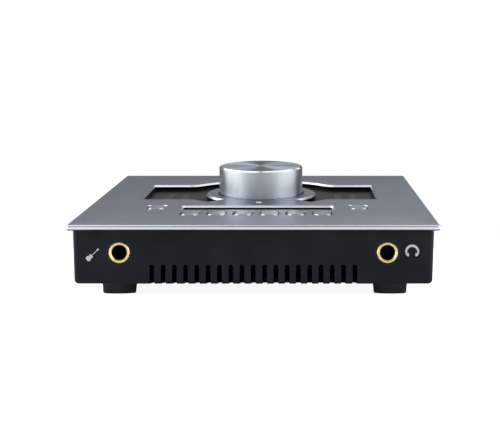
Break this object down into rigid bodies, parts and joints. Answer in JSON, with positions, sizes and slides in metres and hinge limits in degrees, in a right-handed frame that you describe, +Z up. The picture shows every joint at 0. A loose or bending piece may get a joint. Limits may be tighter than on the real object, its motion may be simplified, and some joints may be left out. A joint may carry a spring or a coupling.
{
  "type": "audio interface",
  "caption": "Desktop audio interface: tilted aluminium cover with a large level knob, keys and meter windows on a black vented body with front and rear sockets.",
  "frame": {"origin": "on the table, under the middle of the cover's plan", "axes": "+X to the user's right, +Y to the back, +Z up"},
  "size_m": [0.1616, 0.149, 0.0664],
  "materials": {
    "cover_aluminium": "bead-blasted, clear anodised satin",
    "knob_aluminium": "turned top, satin side, polished bevel",
    "case_paint": "fine-texture black paint",
    "panel_paint": "satin black paint",
    "foot_rubber": "matt moulded rubber",
    "plated_steel": "bright zinc and nickel plating",
    "plain_brass": "machined",
    "gold_plating": "polished gold plating",
    "key_silver": "satin silver moulding",
    "smoked_window": "polished smoked acrylic",
    "light_diffuser": "frosted translucent plastic",
    "circuit_board": "solder mask over glass fibre",
    "sink_aluminium": "black anodised",
    "socket_steel": "nickel-plated stamping",
    "ribbon_grey": "flexible flat cable",
    "lamp_lens": "clear lamp bodies",
    "latch_steel": "polished plated steel",
    "moulded_black": "matt black moulding",
    "socket_plastic": "fine-texture black moulding"
  },
  "bodies": {
    "chassis": {"board_components": "moulded_black", "board_screws": "plated_steel", "board_standoffs": "plain_brass", "body_shell": "case_paint", "button_switches": "moulded_black", "case_screws": "plated_steel", "combo_1_housing": "socket_plastic", "combo_2_housing": "socket_plastic", "combo_contacts": "gold_plating", "data_port": "socket_steel", "dc_inlet": "socket_plastic", "display_frame": "moulded_black", "encoder_body": "socket_plastic", "encoder_nut": "plated_steel", "foot_front_left": "foot_rubber", "foot_front_right": "foot_rubber", "foot_rear_left": "foot_rubber", "foot_rear_right": "foot_rubber", "front_jack_contacts": "gold_plating", "headphone_jack_body": "socket_plastic", "headphone_jack_ferrule": "gold_plating", "heat_sink": "sink_aluminium", "instrument_jack_body": "socket_plastic", "instrument_jack_ferrule": "gold_plating", "io_board": "circuit_board", "label_window": "smoked_window", "level_light_ring": "light_diffuser", "light_baffles": "moulded_black", "line_out_jack_1": "socket_plastic", "line_out_jack_2": "socket_plastic", "line_out_jack_3": "socket_plastic", "line_out_jack_4": "socket_plastic", "line_out_nuts": "plated_steel", "main_board": "circuit_board", "meter_leds": "lamp_lens", "meter_window": "smoked_window", "optical_port": "socket_plastic", "power_switch_frame": "socket_plastic", "rear_panel": "panel_paint", "rear_panel_screws": "plated_steel", "ribbon_cable": "ribbon_grey", "status_light_guide": "light_diffuser", "top_plate": "cover_aluminium", "ui_board": "circuit_board"},
    "knob": {"knob_cap": "knob_aluminium", "knob_hub": "moulded_black", "encoder_shaft": "plated_steel"},
    "knob_plunger": {"encoder_plunger": "socket_plastic"},
    "button_1_key": {"button_1": "key_silver"},
    "button_2_key": {"button_2": "key_silver"},
    "button_3_key": {"button_3": "key_silver"},
    "button_4_key": {"button_4": "key_silver"},
    "button_5_key": {"button_5": "key_silver"},
    "button_6_key": {"button_6": "key_silver"},
    "button_left_key": {"button_left": "key_silver"},
    "button_right_key": {"button_right": "key_silver"},
    "combo_1_release": {"combo_1_latch": "latch_steel"},
    "combo_2_release": {"combo_2_latch": "latch_steel"},
    "shutter": {"optical_shutter": "socket_plastic"},
    "rocker": {"power_rocker": "socket_plastic"}
  },
  "joints": [
    {"name": "knob_press", "type": "slide", "parent": "chassis", "child": "knob_plunger", "axis": [0, 0.2079, -0.9781], "range_m": [0, 0.0005], "stiffness_N_per_m": 2000, "springref_m": -0.001},
    {"name": "knob_turn", "type": "hinge", "parent": "knob_plunger", "child": "knob", "pos_m": [0, 0.01236, 0.0483], "axis": [0, -0.2079, 0.9781], "continuous": true},
    {"name": "button_1_press", "type": "slide", "parent": "chassis", "child": "button_1_key", "axis": [0, 0.2079, -0.9781], "range_m": [0, 0.0004], "stiffness_N_per_m": 800, "springref_m": -0.0005},
    {"name": "button_2_press", "type": "slide", "parent": "chassis", "child": "button_2_key", "axis": [0, 0.2079, -0.9781], "range_m": [0, 0.0004], "stiffness_N_per_m": 800, "springref_m": -0.0005},
    {"name": "button_3_press", "type": "slide", "parent": "chassis", "child": "button_3_key", "axis": [0, 0.2079, -0.9781], "range_m": [0, 0.0004], "stiffness_N_per_m": 800, "springref_m": -0.0005},
    {"name": "button_4_press", "type": "slide", "parent": "chassis", "child": "button_4_key", "axis": [0, 0.2079, -0.9781], "range_m": [0, 0.0004], "stiffness_N_per_m": 800, "springref_m": -0.0005},
    {"name": "button_5_press", "type": "slide", "parent": "chassis", "child": "button_5_key", "axis": [0, 0.2079, -0.9781], "range_m": [0, 0.0004], "stiffness_N_per_m": 800, "springref_m": -0.0005},
    {"name": "button_6_press", "type": "slide", "parent": "chassis", "child": "button_6_key", "axis": [0, 0.2079, -0.9781], "range_m": [0, 0.0004], "stiffness_N_per_m": 800, "springref_m": -0.0005},
    {"name": "button_left_press", "type": "slide", "parent": "chassis", "child": "button_left_key", "axis": [0, 0.2079, -0.9781], "range_m": [0, 0.0004], "stiffness_N_per_m": 800, "springref_m": -0.0005},
    {"name": "button_right_press", "type": "slide", "parent": "chassis", "child": "button_right_key", "axis": [0, 0.2079, -0.9781], "range_m": [0, 0.0004], "stiffness_N_per_m": 800, "springref_m": -0.0005},
    {"name": "combo_1_latch_press", "type": "slide", "parent": "chassis", "child": "combo_1_release", "axis": [0, -1, 0], "range_m": [0, 0.001], "stiffness_N_per_m": 600, "springref_m": -0.0005},
    {"name": "combo_2_latch_press", "type": "slide", "parent": "chassis", "child": "combo_2_release", "axis": [0, -1, 0], "range_m": [0, 0.001], "stiffness_N_per_m": 600, "springref_m": -0.0005},
    {"name": "optical_shutter_swing", "type": "hinge", "parent": "chassis", "child": "shutter", "pos_m": [0.039, 0.0727, 0.0428], "axis": [-1, 0, 0], "range_deg": [0, 75], "stiffness_Nm_per_rad": 0.0001, "springref_deg": -11.46},
    {"name": "power_rocker_tilt", "type": "hinge", "parent": "chassis", "child": "rocker", "pos_m": [0.057, 0.0703, 0.037], "axis": [-1, 0, 0], "range_deg": [0, 14]}
  ]
}
